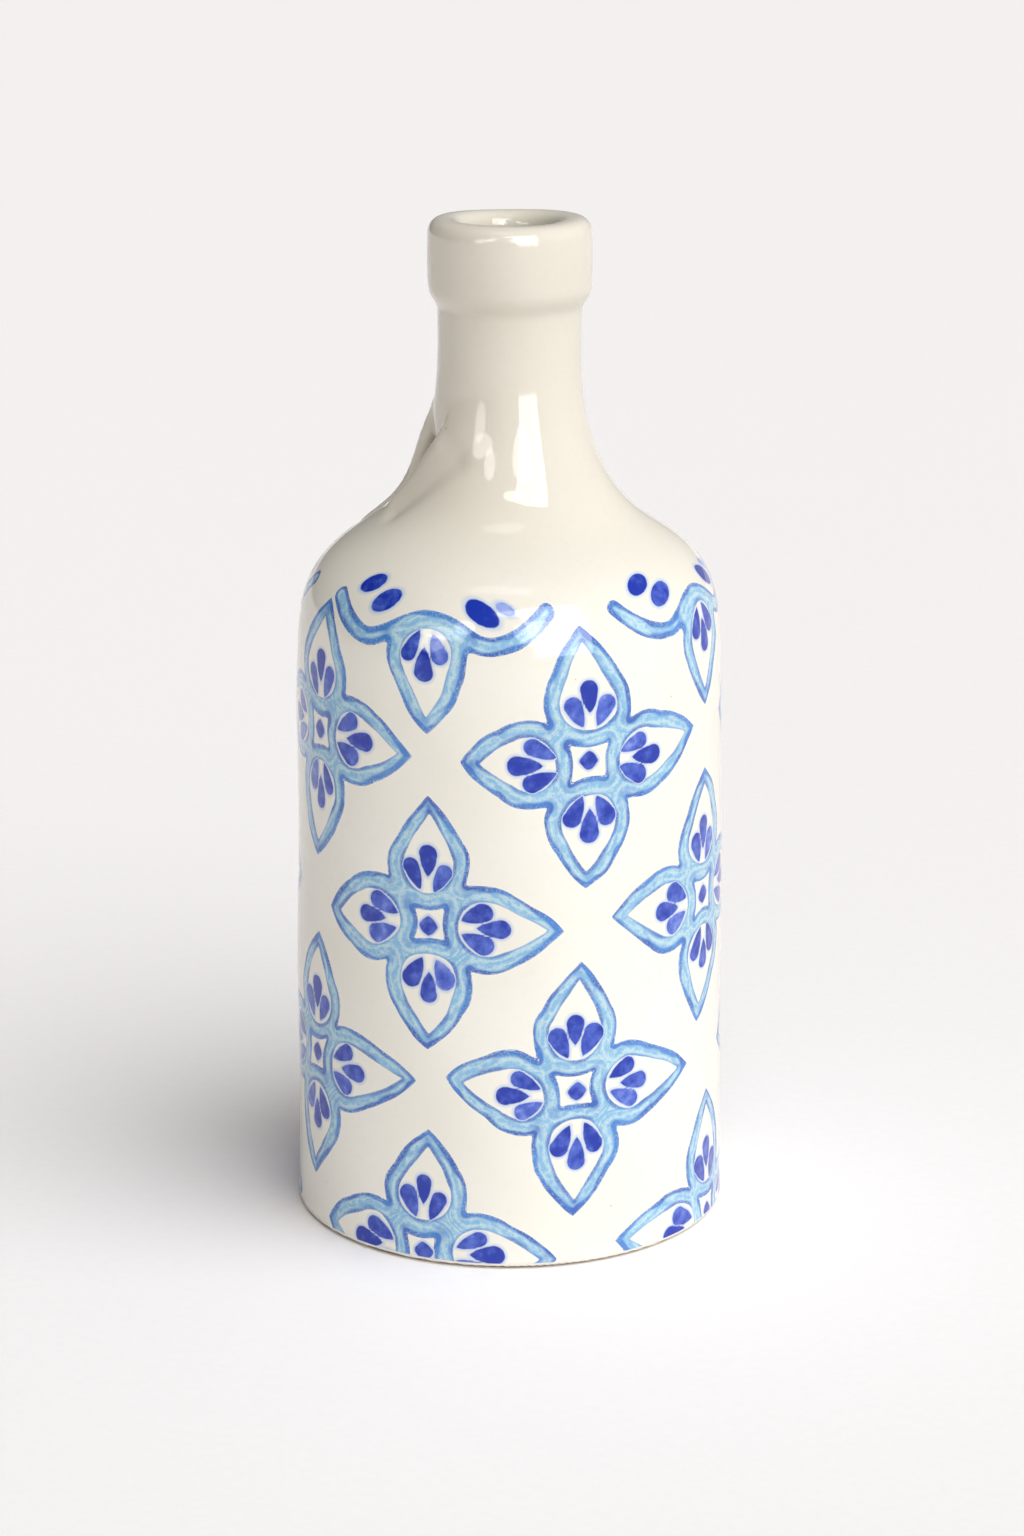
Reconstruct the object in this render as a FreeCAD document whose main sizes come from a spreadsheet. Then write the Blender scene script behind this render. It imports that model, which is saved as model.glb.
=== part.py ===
import FreeCAD, Part
import Sketcher
import os
from math import asin, cos, radians, sin

# A tall ceramic bottle vase, in millimetres: a thrown clay pot built up from a floor, a wall,
# a shoulder, a neck, a collar and a small strap handle, coated inside and out with glaze and
# painted with rows of four-petalled flowers. +Z is up, the origin is the middle of the foot,
# and the handle stands on the -X side.

doc = FreeCAD.newDocument("bottle_vase")

# ---------------------------------------------------------------- driving dimensions

# Control points of the glazed pot's outer curve, from the foot up: name, height, radius.
OUTSIDE = [
    ("foot_edge", 1.5, 47.95), ("wall_low", 9.0, 47.45), ("wall_waist", 55.0, 47.15),
    ("wall_high", 100.0, 47.0), ("wall_top", 124.0, 46.5), ("shoulder_start", 135.0, 46.1),
    ("shoulder_turn", 143.8, 44.0), ("shoulder_slope", 150.9, 38.3), ("flare_low", 156.7, 28.4),
    ("flare_high", 163.0, 22.6), ("neck_root", 171.0, 18.8), ("neck_low", 180.0, 16.35),
    ("neck_mid", 190.0, 15.3), ("neck_top", 202.0, 15.45),
]

# Control points of the glazed pot's inner curve, from the floor up: name, height, radius.
INSIDE = [
    ("hollow_floor", 7.0, 40.0), ("hollow_corner", 9.0, 42.4), ("hollow_waist", 60.0, 41.8),
    ("hollow_wall", 124.0, 41.2), ("hollow_shoulder", 135.0, 40.4), ("hollow_turn", 141.0, 37.8),
    ("hollow_slope", 146.0, 32.5), ("hollow_flare", 150.5, 26.0), ("hollow_throat", 156.0, 18.8),
    ("hollow_root", 163.0, 14.6), ("hollow_neck", 172.0, 11.5), ("bore_foot", 180.0, 10.2),
    ("bore_start", 186.0, 10.0),
]

# Section of the solid collar in its glaze: name, height, radius.
COLLAR = [
    ("collar_waist", 202.0, 15.5), ("collar_shelf", 205.6, 17.25), ("collar_belly", 212.0, 17.55),
    ("collar_brow", 217.5, 17.3), ("rim", 221.3, 15.9),
]

# Section of the strap handle, in its own upright plane: name, height, distance from the axis.
STRAP = [
    ("strap_top", 184.0, 15.9), ("strap_neck_end", 179.4, 17.5), ("strap_upper", 170.6, 21.2),
    ("strap_bend", 162.6, 25.0), ("strap_lower", 156.7, 30.3), ("strap_foot_end", 148.5, 41.6),
    ("strap_foot", 144.0, 41.6), ("strap_foot_inside", 144.0, 34.0), ("strap_hole_low", 151.0, 34.0),
    ("strap_hole_bend", 162.0, 21.0), ("strap_hole_top", 173.5, 14.4), ("strap_top_inside", 184.0, 13.0),
]

# Section of the flat notch behind the handle: name, height, distance from the axis.
NOTCH = [
    ("notch_inner_floor", 155.0, 15.2), ("notch_outer_floor", 145.6, 50.0),
    ("notch_outer_top", 177.0, 50.0), ("notch_lip", 177.0, 18.0), ("notch_inner_top", 171.0, 15.2),
]

DIMENSIONS = {
    "outer_skin": 0.5,           # glaze outside
    "inner_skin": 0.4,           # glaze inside
    "paint_skin": 0.15,          # painted strokes
    "floor_top": 7.0,            # joint between the floor and the wall
    "shoulder_joint": 124.0,     # joint between the wall and the shoulder
    "neck_joint": 160.0,         # joint between the shoulder and the neck
    "foot_radius": 46.4,         # bottom of the bevelled foot
    "recess_radius": 37.0,       # hollow under the foot
    "recess_depth": 1.2,
    "rim_rounding": 1.8,
    "bore_radius": 10.0,         # straight mouth bore
    "bore_base": 180.0,
    "lip_base": 218.3,           # where the bore opens into the lip
    "lip_radius": 12.9,
    "handle_turn": 180.0,        # turn of the handle's plane about +Z, from +X
    "handle_width": 14.0,
    "handle_rounding": 0.6,
    "notch_length": 64.0,
    "notch_backing": 4.6,        # clay left between the notch and the hollow
    "petal_centre": 13.2,        # centre of a flower to the centre of a petal's round end
    "petal_radius": 9.6,
    "petal_tip": 28.4,
    "petal_hole_radius": 6.0,
    "petal_hole_tip": 24.8,
    "drop_radius": 1.9,
    "drop_length": 7.6,
    "drop_middle": 3.2,          # the middle drop stands this far beyond the petal's centre
    "drop_aside": 3.3,           # the side drops stand this far to either side
    "drop_lean": 22.0,
    "diamond_reach": 1.95,
    "row_pitch": 36.9,
    "lowest_row": 3.5,
    "paint_bottom": 2.0,
    "paint_top": 147.0,
}

SPLINE_DEGREE = 3
ROW_COUNT = 5
COLUMN_TURNS = [-27.0, 13.2, 54.4, 100.0, 146.0, 192.0, 238.0, 285.0]   # degrees about +Z, from -Y

sheet = doc.addObject("Spreadsheet::Sheet", "Dimensions")
cells = dict(DIMENSIONS)
for name, height, reach in OUTSIDE + INSIDE + COLLAR + STRAP + NOTCH:
    cells[name + "_height"] = height
    cells[name + "_reach"] = reach
for row, (alias, value) in enumerate(cells.items(), start=1):
    sheet.set("A%d" % row, alias)
    sheet.set("B%d" % row, str(value))
    sheet.setAlias("B%d" % row, alias)
doc.recompute()


def size(alias):
    """The value of a driving dimension."""
    return float(sheet.get(alias))


def bound(alias, change=""):
    """An expression that follows a driving dimension."""
    return "Dimensions." + alias + change


# ---------------------------------------------------------------- building blocks

def origin_plane(body, role):
    """The named plane of a body's own origin."""
    return [part for part in body.Origin.OriginFeatures if part.Role == role][0]


def side_sketch(body):
    """An empty sketch in the body's XZ plane, with reach across it and height up it."""
    sketch = body.newObject("Sketcher::SketchObject", body.Name + "_outline")
    sketch.AttachmentSupport = (origin_plane(body, "XZ_Plane"), "")
    sketch.MapMode = "FlatFace"
    return sketch


def hold(sketch, kind, geometry, end, value, rule):
    """Hold one point of a sketch at a distance from the axis, or at a height, by expression."""
    number = sketch.addConstraint(Sketcher.Constraint(kind, -1, 1, geometry, end, value))
    sketch.setExpression("Constraints[%d]" % number, rule)


def outline_sketch(body, points):
    """A closed outline of straight sides.

    Each point is (reach, height, reach expression, height expression). A reach expression of
    None puts the point on the axis.
    """
    sketch = side_sketch(body)
    places = [FreeCAD.Vector(reach, height, 0) for reach, height, _, _ in points]
    for here, place in enumerate(places):
        sketch.addGeometry(Part.LineSegment(place, places[(here + 1) % len(places)]), False)
    for here in range(len(places)):
        sketch.addConstraint(Sketcher.Constraint("Coincident", here, 2, (here + 1) % len(places), 1))
    for here, (reach, height, reach_rule, height_rule) in enumerate(points):
        if reach_rule is None:
            sketch.addConstraint(Sketcher.Constraint("PointOnObject", here, 1, -2))
        else:
            hold(sketch, "DistanceX", here, 1, reach, reach_rule)
        hold(sketch, "DistanceY", here, 1, height, height_rule)
    return sketch


def curved_sketch(body, stations, change):
    """Half of a turned form: one smooth curve and the lines that close it to the axis."""
    sketch = side_sketch(body)
    poles = [FreeCAD.Vector(radius, height, 0) for _, height, radius in stations]
    inner_knots = len(poles) - SPLINE_DEGREE - 1
    curve = Part.BSplineCurve()
    curve.buildFromPolesMultsKnots(
        poles, [SPLINE_DEGREE + 1] + [1] * inner_knots + [SPLINE_DEGREE + 1],
        [float(knot) for knot in range(inner_knots + 2)], False, SPLINE_DEGREE)
    sketch.addGeometry(curve, False)
    sketch.exposeInternalGeometry(0)
    for number, (name, height, radius) in enumerate(stations, start=1):
        hold(sketch, "DistanceX", number, 3, radius, bound(name + "_reach", change))
        hold(sketch, "DistanceY", number, 3, height, bound(name + "_height"))
    low = FreeCAD.Vector(0, poles[0].y, 0)
    high = FreeCAD.Vector(0, poles[-1].y, 0)
    bottom = sketch.addGeometry(Part.LineSegment(low, poles[0]), False)
    top = sketch.addGeometry(Part.LineSegment(poles[-1], high), False)
    middle = sketch.addGeometry(Part.LineSegment(high, low), False)
    corners = [(bottom, 2, 0, 1), (0, 2, top, 1), (top, 2, middle, 1), (middle, 2, bottom, 1)]
    for corner in corners:
        sketch.addConstraint(Sketcher.Constraint("Coincident", *corner))
    sketch.addConstraint(Sketcher.Constraint("PointOnObject", bottom, 1, -2))
    sketch.addConstraint(Sketcher.Constraint("PointOnObject", top, 2, -2))
    sketch.addConstraint(Sketcher.Constraint("Horizontal", bottom))
    sketch.addConstraint(Sketcher.Constraint("Horizontal", top))
    return sketch


def named_point(name, across=0.0, up=0.0):
    """An outline point at a named height and reach, each moved by a fixed amount."""
    return (size(name + "_reach") + across, size(name + "_height") + up,
            bound(name + "_reach", " + %s" % across), bound(name + "_height", " + %s" % up))


def axis_point(alias, up=0.0):
    """An outline point on the axis at a named height."""
    return (0.0, size(alias) + up, None, bound(alias, " + %s" % up))


def spin(body, sketch):
    """Turn a half outline into a solid of revolution about +Z."""
    turn = body.newObject("PartDesign::Revolution", body.Name + "_spin")
    turn.Profile = sketch
    turn.ReferenceAxis = (sketch, ["V_Axis"])
    turn.Angle = 360.0
    doc.recompute()
    return body


def turned_body(label, stations, change=""):
    """A solid of revolution with a smooth curved side."""
    body = doc.addObject("PartDesign::Body", label)
    return spin(body, curved_sketch(body, stations, change))


def spun_body(label, points):
    """A solid of revolution with a straight-sided outline."""
    body = doc.addObject("PartDesign::Body", label)
    return spin(body, outline_sketch(body, points))


def upright_slab(label, points, width_alias):
    """A straight-sided outline in the handle's plane, given a width across that plane."""
    body = doc.addObject("PartDesign::Body", label)
    pad = body.newObject("PartDesign::Pad", label + "_pad")
    pad.Profile = outline_sketch(body, points)
    pad.Midplane = True
    pad.setExpression("Length", bound(width_alias))
    body.Placement = FreeCAD.Placement(
        FreeCAD.Vector(0, 0, 0), FreeCAD.Rotation(FreeCAD.Vector(0, 0, 1), size("handle_turn")))
    body.setExpression("Placement.Rotation.Angle", bound("handle_turn", " * 1 deg"))
    doc.recompute()
    return body


def round_edges(body, chosen, radius_alias):
    """Fillet the chosen edges of a body's last feature."""
    base = body.Tip
    names = ["Edge%d" % number for number, edge in enumerate(base.Shape.Edges, start=1)
             if chosen(edge)]
    fillet = body.newObject("PartDesign::Fillet", body.Name + "_rounding")
    fillet.Base = (base, names)
    fillet.setExpression("Radius", bound(radius_alias))
    doc.recompute()


def layer(label, low, high):
    """A wide disc that holds everything between two heights given as expressions."""
    disc = doc.addObject("Part::Cylinder", label)
    disc.setExpression("Radius", bound("foot_edge_reach", " + 20"))
    disc.setExpression("Placement.Base.z", low)
    disc.setExpression("Height", "%s - (%s)" % (high, low))
    return disc


def cut(label, base, tool):
    """What is left of base when tool is taken away."""
    result = doc.addObject("Part::Cut", label)
    result.Base = base
    result.Tool = tool
    return result


def common(label, first, second):
    """What two shapes share."""
    result = doc.addObject("Part::MultiCommon", label)
    result.Shapes = [first, second]
    return result


def fuse(label, shapes):
    """Several shapes joined into one."""
    result = doc.addObject("Part::MultiFuse", label)
    result.Shapes = shapes
    return result


pieces = []


def keep(label, result):
    """Hand in an object as one sub-part of the vase."""
    result.Label = label
    pieces.append(result)
    return result


# ---------------------------------------------------------------- forms of the whole pot

def notch(label, inset):
    """The flat cut into the flare behind the handle, moved inwards by inset."""
    return upright_slab(label, [
        named_point("notch_inner_floor", -inset, -inset),
        named_point("notch_outer_floor", 0.0, -inset),
        named_point("notch_outer_top", 0.0, inset),
        named_point("notch_lip", 0.0, inset),
        named_point("notch_inner_top", -inset, inset),
    ], "notch_length")


def mouth(label, skin):
    """The straight bore and the lip's flare, wider by skin than the glazed mouth."""
    bore = doc.addObject("Part::Cylinder", label + "_bore")
    bore.setExpression("Radius", bound("bore_radius", " + %s" % skin))
    bore.setExpression("Placement.Base.z", bound("bore_base"))
    bore.setExpression("Height", bound("rim_height") + " + 10 - " + bound("bore_base"))
    flare = doc.addObject("Part::Cone", label + "_flare")
    flare.setExpression("Radius1", bound("bore_radius", " + %s" % skin))
    flare.setExpression("Radius2", bound("lip_radius", " + %s" % skin))
    flare.setExpression("Placement.Base.z", bound("lip_base"))
    flare.setExpression("Height", bound("rim_height") + " - " + bound("lip_base"))
    return [bore, flare]


def collar_form(label, skin):
    """The collar as a solid plug, smaller by skin than its glazed outside."""
    points = [axis_point("collar_waist_height", -skin)]
    for name in ("collar_waist", "collar_shelf", "collar_belly", "collar_brow"):
        points.append(named_point(name, -skin))
    points.append(named_point("rim", -skin, -skin))
    points.append(axis_point("rim_height", -skin))
    body = spun_body(label, points)
    highest = size("collar_belly_height")
    round_edges(body, lambda edge: edge.BoundBox.ZMin > highest and edge.Closed, "rim_rounding")
    return body


OUTER_SKIN = size("outer_skin")
INNER_SKIN = size("inner_skin")

pot_glaze = cut("pot_glaze", turned_body("glaze_form", OUTSIDE), notch("notch_glaze", 0.0))
pot_clay = cut("pot_clay", turned_body("clay_form", OUTSIDE, " - Dimensions.outer_skin"),
               notch("notch_clay", OUTER_SKIN))
hollow_glaze = cut(
    "hollow_glaze",
    fuse("hollow_glaze_whole", [turned_body("glaze_hollow", INSIDE)] + mouth("mouth_glaze", 0.0)),
    notch("notch_hollow_glaze", size("notch_backing") + INNER_SKIN))
hollow_clay = cut(
    "hollow_clay",
    fuse("hollow_clay_whole", [turned_body("clay_hollow", INSIDE, " + Dimensions.inner_skin")]
         + mouth("mouth_clay", INNER_SKIN)),
    notch("notch_hollow_clay", size("notch_backing")))
collar_glaze = collar_form("collar_glaze", 0.0)
collar_clay = collar_form("collar_clay", OUTER_SKIN)
pot_wall = cut("pot_wall", pot_clay, hollow_clay)


# ---------------------------------------------------------------- clay pieces

def floor_disc():
    """The floor slab, with a bevelled foot and a shallow recess underneath."""
    slab = common("floor_slab", pot_wall,
                  layer("floor_layer", bound("foot_edge_height"), bound("floor_top")))
    foot = doc.addObject("Part::Cone", "foot_bevel")
    foot.setExpression("Radius1", bound("foot_radius"))
    foot.setExpression("Radius2", bound("foot_edge_reach", " - Dimensions.outer_skin"))
    foot.setExpression("Height", bound("foot_edge_height"))
    recess = doc.addObject("Part::Cylinder", "foot_recess")
    recess.setExpression("Radius", bound("recess_radius"))
    recess.setExpression("Height", bound("recess_depth"))
    keep("floor_disc", cut("floor_piece", fuse("floor_whole", [slab, foot]), recess))


def wall_lengths():
    """The straight wall, the shoulder and the neck, each a length of the pot's wall."""
    lengths = [
        ("body_wall", "floor_top", "shoulder_joint"),
        ("shoulder_dome", "shoulder_joint", "neck_joint"),
        ("neck_tube", "neck_joint", "collar_waist_height"),
    ]
    for label, low, high in lengths:
        span = layer(label + "_layer", bound(low), bound(high))
        keep(label, common(label + "_piece", pot_wall, span))


def mouth_collar():
    """The thick ring around the mouth."""
    ring = cut("collar_ring", collar_clay, hollow_clay)
    above = layer("collar_layer", bound("collar_waist_height"), bound("rim_height"))
    keep("mouth_collar", common("collar_piece", ring, above))


def strap_body(label, skin):
    """The strap before it is seated on the pot, thicker by skin all round."""
    corners = [FreeCAD.Vector(reach, height, 0) for _, height, reach in STRAP]
    points = []
    for here, (name, _, _) in enumerate(STRAP):
        before = (corners[here] - corners[here - 1]).normalize()
        after = (corners[(here + 1) % len(corners)] - corners[here]).normalize()
        outward = FreeCAD.Vector(-before.y - after.y, before.x + after.x, 0).normalize()
        points.append(named_point(name, outward.x * skin, outward.y * skin))
    body = upright_slab(label, points, "handle_width")
    body.Tip.setExpression("Length", bound("handle_width", " + %s" % (2 * skin)))
    doc.recompute()
    half_width = size("handle_width") / 2 + skin
    round_edges(body, lambda edge: abs(abs(edge.CenterOfMass.y) - half_width) < 0.01,
                "handle_rounding")
    return body


def loop_handle():
    """The short strap that bridges the notch, and its coat of glaze."""
    blank = strap_body("strap_blank", 0.0)
    keep("loop_handle", cut("strap_piece", blank, pot_clay))
    coat = cut("strap_coat", strap_body("strap_coated", size("inner_skin")), blank)
    keep("handle_glaze", cut("strap_coat_piece", coat, pot_glaze))
    return blank


floor_disc()
wall_lengths()
mouth_collar()
strap_blank = loop_handle()

# ---------------------------------------------------------------- glaze coats

clay_core = fuse("clay_core", [pot_clay, collar_clay, strap_blank, hollow_clay])
glaze_core = fuse("glaze_core", [pot_glaze, collar_glaze])
keep("outer_glaze", cut("outer_coat", glaze_core, clay_core))
inner_coat = cut("inner_coat", hollow_clay, hollow_glaze)
keep("inner_glaze", common("inner_coat_piece", inner_coat, layer(
    "inner_layer", bound("hollow_floor_height"), bound("rim_height"))))
doc.recompute()

# ---------------------------------------------------------------- painted flowers

def teardrop(reach, across, lean, turn, radius, length):
    """A flat teardrop in the XZ plane: a round end of the given radius running to a point.

    The round end's centre lies reach along the petal and across it, measured from the flower's
    centre. The point is length further on along the petal, or back towards the flower's centre
    if length is negative. lean tilts the drop in place, and turn is the petal's own direction.
    """
    side = 1 if length > 0 else -1
    half = asin(radius / abs(length))
    touch = FreeCAD.Vector(radius * cos(half), 0, side * radius * sin(half))
    opposite = FreeCAD.Vector(-touch.x, 0, touch.z)
    tip = FreeCAD.Vector(0, 0, length)
    round_end = Part.Arc(touch, FreeCAD.Vector(0, 0, -side * radius), opposite).toShape()
    face = Part.Face(Part.Wire([round_end, Part.makeLine(opposite, tip), Part.makeLine(tip, touch)]))
    face.rotate(FreeCAD.Vector(0, 0, 0), FreeCAD.Vector(0, 1, 0), lean)
    face.translate(FreeCAD.Vector(across, 0, reach))
    face.rotate(FreeCAD.Vector(0, 0, 0), FreeCAD.Vector(0, 1, 0), turn)
    return face


def joined(faces):
    """Flat faces merged into one outline."""
    return faces[0].fuse(faces[1:]).removeSplitter()


PETAL_TURNS = [0.0, 90.0, 180.0, 270.0]


def outline_faces():
    """The band round the four petals of a flower."""
    centre = size("petal_centre")
    petals = [teardrop(centre, 0.0, 0.0, turn, size("petal_radius"), size("petal_tip") - centre)
              for turn in PETAL_TURNS]
    holes = [teardrop(centre, 0.0, 0.0, turn, size("petal_hole_radius"),
                      size("petal_hole_tip") - centre) for turn in PETAL_TURNS]
    return [joined(petals).cut(holes)]


def drop_faces():
    """The three drops in each petal, their points towards the flower's centre."""
    length = size("drop_radius") - size("drop_length")
    middle = size("petal_centre") + size("drop_middle")
    faces = []
    for turn in PETAL_TURNS:
        faces.append(teardrop(middle, 0.0, 0.0, turn, size("drop_radius"), length))
        for side in (-1, 1):
            faces.append(teardrop(size("petal_centre"), side * size("drop_aside"),
                                  side * size("drop_lean"), turn, size("drop_radius"), length))
    return faces


def diamond_faces():
    """The small diamond in the middle of a flower."""
    reach = size("diamond_reach")
    corners = [FreeCAD.Vector(reach * sin(radians(turn)), 0, reach * cos(radians(turn)))
               for turn in PETAL_TURNS]
    return [Part.Face(Part.makePolygon(corners + corners[:1]))]


def painted_skin():
    """A thin skin on the glaze, over the height that is painted."""
    raised = turned_body("paint_form", OUTSIDE, " + Dimensions.paint_skin")
    skin = cut("paint_skin", raised, pot_glaze.Base)
    band = layer("paint_layer", bound("paint_bottom"), bound("paint_top"))
    result = common("paint_band", skin, band)
    doc.recompute()
    return result.Shape


def painted(label, faces, skin):
    """One colour of paint: the same faces laid on the skin for every flower."""
    through = FreeCAD.Vector(0, -2 * size("foot_edge_reach"), 0)
    solids = []
    for row in range(ROW_COUNT):
        lift = FreeCAD.Vector(0, 0, size("lowest_row") + row * size("row_pitch"))
        prisms = []
        for face in faces:
            prism = face.extrude(through)
            prism.translate(lift)
            prisms.append(prism)
        strokes = [solid for prism in prisms for solid in skin.common(prism).Solids]
        for turn in COLUMN_TURNS[1 - row % 2::2]:
            for stroke in strokes:
                turned = stroke.copy()
                turned.rotate(FreeCAD.Vector(0, 0, 0), FreeCAD.Vector(0, 0, 1), turn)
                solids.append(turned)
    feature = doc.addObject("Part::Feature", label + "_piece")
    feature.Shape = Part.makeCompound(solids)
    keep(label, feature)


skin = painted_skin()
painted("outline_strokes", outline_faces(), skin)
painted("petal_drops", drop_faces(), skin)
painted("centre_diamonds", diamond_faces(), skin)
doc.recompute()

# ---------------------------------------------------------------- check and write

for item in doc.Objects:
    if "Invalid" in item.State or "Error" in item.State:
        raise RuntimeError("%s failed: %s" % (item.Label, item.State))

os.makedirs("parts", exist_ok=True)
for piece in pieces:
    if piece.Shape.isNull() or not piece.Shape.isValid():
        raise RuntimeError("%s has no valid shape" % piece.Label)
    print("%-16s %2d solids %10.1f mm3" % (piece.Label, len(piece.Shape.Solids), piece.Shape.Volume))
    piece.Shape.exportStep("parts/%s.step" % piece.Label)
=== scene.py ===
from math import cos, pi, radians, sin, sqrt

import bpy
import numpy as np
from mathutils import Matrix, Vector


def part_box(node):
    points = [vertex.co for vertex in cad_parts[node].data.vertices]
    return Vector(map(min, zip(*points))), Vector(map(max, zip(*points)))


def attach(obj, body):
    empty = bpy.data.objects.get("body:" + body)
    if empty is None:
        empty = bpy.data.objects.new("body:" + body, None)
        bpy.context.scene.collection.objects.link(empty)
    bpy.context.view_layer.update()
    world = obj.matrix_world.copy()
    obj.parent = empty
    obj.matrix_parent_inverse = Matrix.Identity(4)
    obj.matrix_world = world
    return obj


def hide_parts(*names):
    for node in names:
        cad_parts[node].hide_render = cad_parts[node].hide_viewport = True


# The glazed and painted looks of a ceramic bottle vase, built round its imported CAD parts.
# Shapes are worked out in millimetres, in the CAD's frame, and become metres when a mesh is made.
# A place on the pot is its turn, in degrees about +Z from -Y towards +X, and its height along the
# curve of the wall. A painted motif has its own flat plan: across to the right, and up.

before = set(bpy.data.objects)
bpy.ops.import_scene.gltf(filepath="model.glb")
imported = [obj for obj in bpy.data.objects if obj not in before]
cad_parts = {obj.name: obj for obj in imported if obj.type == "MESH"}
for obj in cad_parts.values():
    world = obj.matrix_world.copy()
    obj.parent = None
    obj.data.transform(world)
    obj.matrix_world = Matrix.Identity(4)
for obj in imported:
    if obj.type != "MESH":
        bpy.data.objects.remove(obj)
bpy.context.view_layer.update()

MM = 0.001
SEED = 20

# ---------------------------------------------------------------- sizes

# Control points of the pot's outer and inner curves: height, radius. They are the CAD's own.
OUTER_CURVE = [
    (1.5, 47.95), (9.0, 47.45), (55.0, 47.15), (100.0, 47.0), (124.0, 46.5), (135.0, 46.1),
    (143.8, 44.0), (150.9, 38.3), (156.7, 28.4), (163.0, 22.6), (171.0, 18.8), (180.0, 16.35),
    (190.0, 15.3), (202.0, 15.45),
]
INNER_CURVE = [
    (7.0, 40.0), (9.0, 42.4), (60.0, 41.8), (124.0, 41.2), (135.0, 40.4), (141.0, 37.8),
    (146.0, 32.5), (150.5, 26.0), (156.0, 18.8), (163.0, 14.6), (172.0, 11.5), (180.0, 10.2),
    (186.0, 10.05), (194.0, 10.05),
]
# Middle line of the strap handle, from the neck to the shoulder: height, distance from the axis.
STRAP_CURVE = [
    (180.5, 14.2), (176.0, 16.6), (170.8, 18.6), (164.4, 20.9), (158.3, 24.9), (153.2, 31.2),
    (148.4, 37.3), (141.5, 39.6),
]

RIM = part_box("outer_glaze")[1].z / MM
STRAP_HALF_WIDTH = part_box("loop_handle")[1].y / MM
STRAP_HALF_THICKNESS = 1.75
COLLAR_CREASE = (202.6, 15.5)       # where the collar's chamfer meets the neck: height, radius
COLLAR_CHAMFER = (2.9, 1.8)         # rise and overhang of that chamfer
COLLAR_BELLY = (212.0, 17.55)       # fullest ring of the collar
COLLAR_BOW = 15.0                   # height over which the collar draws in by a millimetre
COLLAR_JOIN = 0.45                  # the joins and roundings say over how many millimetres two surfaces ease
BELLY_ROUNDING = 0.8
BROW_ROUNDING = 3.0
LIP_ROUNDING = 3.4
BORE_RADIUS = 10.0
BORE_END = 190.0                    # below it, the inner coat lines the neck
COAT_PITCH = 1.15                   # spacing of the glaze coat's mesh points
COAT_REACH = 51.0                   # half width of the space searched for the glaze's surface
COAT_FOOT = 0.45                    # lower edge of the glaze, just clear of what the pot stands on
FOOT_ROUNDING = 1.2
# The handle, its pocket and the creases lie between two heights and beyond HANDLE_FROM on their side.
HANDLE_HEIGHTS = (138.0, 190.0)
HANDLE_FROM = -10.0
STRAP_ZONE = (6.0, 14.0)            # the strap lies beyond the first, and within the second to each side
# How far the strap's join eases on the neck, and how much more below a height, over a drop.
STRAP_JOIN = (1.9, 2.6, 157.0, 8.0)
STRAP_SPREAD = (1.6, 158.0, 10.0)   # how much wider its foot is to each side, below a height, over a drop
STRAP_ROUNDING = 1.6
POCKET_RADIUS = 15.3                # the neck goes straight down behind the handle, this far from the axis
POCKET_FLOOR = (154.0, -0.30)       # height of the pocket's floor at that radius, and its slope outwards
POCKET_SIDES = (178.0, 67.0, 1.7)   # at a height, the pocket's half angle about the handle, and its change
POCKET_FADE = (170.0, 182.0, 1.5)   # between two heights its back comes out to the neck's own surface
POCKET_JOIN = 1.1                   # the pocket's edge on the flare
# Thumbed creases beside the pocket, on both sides: two ends (x, side, height), depth and half width.
CREASES = [
    ((-0.8, 18.9, 171.4), (-14.7, 21.7, 159.3), 0.8, 2.6),
    ((-7.0, 16.5, 173.5), (-18.5, 17.5, 161.5), -0.7, 2.2),
]

# Slow unevenness of the thrown surface: number of waves, shortest, longest, height of the longest.
SURFACE_UNEVEN = (14, 11.0, 46.0, 0.075)
STEADY_FOOT = (4.0, 34.0)           # the waves grow between these heights, so the foot stands flat

WALL_RADIUS = 47.0                  # turns are measured round this circle
PETAL_OUT = 12.9                    # middle of a flower to the middle of a petal's round end
PETAL_RADIUS = 9.7
PETAL_REACH = 28.4
HOLE_RADIUS = 6.05
HOLE_SHORT = 3.6                    # petal's tip to its hole's tip
PETAL_BULGE = 0.7                   # how far the sides of a drop shape stand out from straight
HOLE_BULGE = 0.35
DAB_BULGE = 0.4
OUTLINE_SHAKE = 0.22                # how far a shaky hand moves an outline, a dab or a diamond
DAB_SHAKE = 0.12
DIAMOND_SHAKE = 0.15
DIAMOND_REACH = 2.15
WAVE_HALF_WIDTH = 1.8
PLAN_CELL = 0.42                    # spacing of a painted patch's mesh points
PLAN_REACH = 33.0
PAINT_MARGINS = (0.2, 1.0, 0.45)    # skin beyond the paint's edge: outlines, drops, diamonds
PAINT_LIFTS = (0.05, 0.06, 0.06)
DAB_GAP = 0.16                      # half the pale gap that keeps two dabs apart
TOP_MOTIF = 148.7                   # height of the middle of the cut-off flowers on the shoulder
COLUMN_TURNS = [-27.0, 13.2, 54.4, 100.0, 146.0, 192.0, 238.0, 285.0]
ROW_HEIGHTS = [3.5, 40.4, 77.3, 114.2, TOP_MOTIF]
PAINT_LOWEST = 1.2
HANDLE_TURN = 270.0
HANDLE_CLEAR = (12.0, 144.0)        # no paint this near the handle's foot: turn, height

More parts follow.
